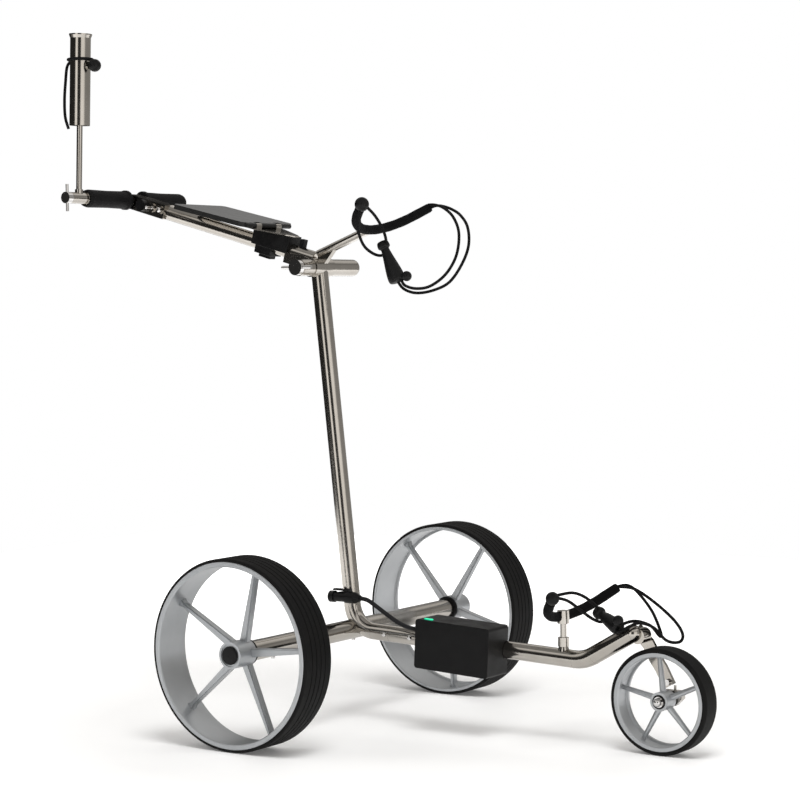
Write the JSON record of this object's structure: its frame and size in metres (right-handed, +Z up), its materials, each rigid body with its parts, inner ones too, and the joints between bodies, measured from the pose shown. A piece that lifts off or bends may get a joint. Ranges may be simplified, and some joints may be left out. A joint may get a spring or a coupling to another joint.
{
  "type": "electric golf trolley",
  "caption": "Electric golf trolley of polished tube with a folding handle, umbrella and scorecard holders, strapped bag cradles, battery box, powered rear axle and single-arm front wheel.",
  "frame": {"origin": "on the ground under the middle of the trolley, without its loose straps", "axes": "+X forward towards the front wheel, +Y to the trolley's left, +Z up"},
  "size_m": [1.148, 0.665, 1.1536],
  "materials": {
    "polished_steel": "mirror-polished stainless steel",
    "chrome": "bright chrome plate",
    "satin_alloy": "satin anodised",
    "tyre": "matte rubber tread",
    "foam": "closed-cell foam sleeve",
    "black_plastic": "fine moulded grain",
    "elastic": "braided sheath",
    "grip_rubber": "soft matte",
    "lid_grey": "satin grey top in black edge",
    "light_green": "lit lens",
    "cell_wrap": "shrink wrap",
    "circuit_board": "lacquered board",
    "machine_steel": "machined"
  },
  "bodies": {
    "frame": {"axle_tube": "polished_steel", "column_tube": "polished_steel", "upper_cradle": "polished_steel", "upper_foam": "foam", "upper_ball": "black_plastic", "upper_bungee_short": "elastic", "upper_bungee_long": "elastic", "upper_toggle": "black_plastic", "motors": "machine_steel", "gearboxes": "machine_steel", "axle_bushes": "black_plastic", "frame_screws": "chrome", "power_socket": "black_plastic", "power_plug": "black_plastic", "battery_lead": "black_plastic", "battery_case": "black_plastic", "battery_cells": "cell_wrap", "battery_light": "light_green", "front_tube": "polished_steel", "lower_post": "polished_steel", "fork_arm": "polished_steel"},
    "plug_latch": {"plug_latch": "black_plastic"},
    "snap_button": {"snap_button": "chrome"},
    "lower_bracket": {"lower_cradle": "polished_steel", "lower_foam": "foam", "lower_ball": "black_plastic", "lower_bungee_short": "elastic", "lower_bungee_long": "elastic", "lower_toggle": "black_plastic"},
    "tracking": {"axle_block": "chrome", "front_axle": "chrome"},
    "front_wheel": {"front_rim": "satin_alloy", "front_tyre": "tyre", "front_bearings": "machine_steel"},
    "rear_wheel_left": {"rear_rim_left": "satin_alloy", "rear_tyre_left": "tyre", "drive_shaft_left": "chrome", "hub_cap_left": "black_plastic"},
    "rear_wheel_right": {"rear_rim_right": "satin_alloy", "rear_tyre_right": "tyre", "drive_shaft_right": "chrome", "hub_cap_right": "black_plastic"},
    "handle": {"handle_yoke": "polished_steel", "handle_tube": "polished_steel", "head_housing": "polished_steel", "control_board": "circuit_board", "t_bar": "polished_steel", "grips": "grip_rubber", "holder_clamp": "black_plastic", "holder_plate": "polished_steel"},
    "pivot_knob": {"pivot_knob": "chrome"},
    "speed_knob": {"speed_knob": "black_plastic"},
    "toggle_lever": {"toggle_lever": "chrome"},
    "push_button": {"push_button": "chrome"},
    "card_lid": {"card_lid": "lid_grey"},
    "umbrella_arm": {"umbrella_clamp": "polished_steel", "umbrella_tube": "polished_steel", "umbrella_elastic": "elastic"},
    "umbrella_pin": {"umbrella_pin": "chrome"},
    "umbrella_knob": {"umbrella_knob": "black_plastic"}
  },
  "joints": [
    {"name": "rear_wheel_left_spin", "type": "hinge", "parent": "frame", "child": "rear_wheel_left", "pos_m": [-0.089, 0.298, 0.15], "axis": [0, 1, 0], "continuous": true},
    {"name": "rear_wheel_right_spin", "type": "hinge", "parent": "frame", "child": "rear_wheel_right", "pos_m": [-0.089, -0.298, 0.15], "axis": [0, 1, 0], "continuous": true},
    {"name": "front_wheel_spin", "type": "hinge", "parent": "tracking", "child": "front_wheel", "pos_m": [0.487, 0, 0.0815], "axis": [0, 1, 0], "continuous": true},
    {"name": "tracking_adjust", "type": "hinge", "parent": "frame", "child": "tracking", "pos_m": [0.494, 0.0255, 0.098], "axis": [0, 0, 1], "range_deg": [-1.5, 1.5]},
    {"name": "lower_bracket_swivel", "type": "hinge", "parent": "frame", "child": "lower_bracket", "pos_m": [0.3135, 0, 0.195], "axis": [0, 0, 1], "range_deg": [-10, 0]},
    {"name": "handle_fold", "type": "hinge", "parent": "frame", "child": "handle", "pos_m": [-0.148, 0, 0.749], "axis": [0, -1, 0], "range_deg": [0, 80]},
    {"name": "pivot_knob_turn", "type": "hinge", "parent": "frame", "child": "pivot_knob", "pos_m": [-0.148, -0.062, 0.749], "axis": [0, 1, 0], "range_deg": [-180, 180]},
    {"name": "speed_knob_turn", "type": "hinge", "parent": "handle", "child": "speed_knob", "pos_m": [-0.51491, -0.02, 0.86476], "axis": [0, -1, 0], "range_deg": [-135, 135]},
    {"name": "toggle_lever_flick", "type": "hinge", "parent": "handle", "child": "toggle_lever", "pos_m": [-0.49695, -0.015, 0.8603], "axis": [0.2672, 0, 0.9636], "range_deg": [-12, 12]},
    {"name": "push_button_press", "type": "slide", "parent": "handle", "child": "push_button", "axis": [0, 1, 0], "range_m": [0, 0.0014], "stiffness_N_per_m": 600},
    {"name": "snap_button_press", "type": "slide", "parent": "frame", "child": "snap_button", "axis": [0, 1, 0], "range_m": [0, 0.003], "stiffness_N_per_m": 600},
    {"name": "plug_latch_press", "type": "hinge", "parent": "frame", "child": "plug_latch", "pos_m": [-0.0855, -0.022, 0.217], "axis": [0, -1, 0], "range_deg": [0, 2.2], "stiffness_Nm_per_rad": 0.6},
    {"name": "card_lid_open", "type": "hinge", "parent": "handle", "child": "card_lid", "pos_m": [-0.25452, 0, 0.8217], "axis": [0, 1, 0], "range_deg": [0, 110]},
    {"name": "umbrella_tilt", "type": "hinge", "parent": "handle", "child": "umbrella_arm", "pos_m": [-0.55099, -0.142, 0.87498], "axis": [0, 1, 0], "range_deg": [-90, 90]},
    {"name": "umbrella_pin_turn", "type": "hinge", "parent": "handle", "child": "umbrella_pin", "pos_m": [-0.55099, -0.165, 0.87498], "axis": [0, 1, 0], "range_deg": [-180, 180]},
    {"name": "umbrella_knob_turn", "type": "hinge", "parent": "umbrella_arm", "child": "umbrella_knob", "pos_m": [-0.542, -0.142, 1.0989], "axis": [0.9992, 0, -0.0401], "range_deg": [-180, 180]}
  ]
}
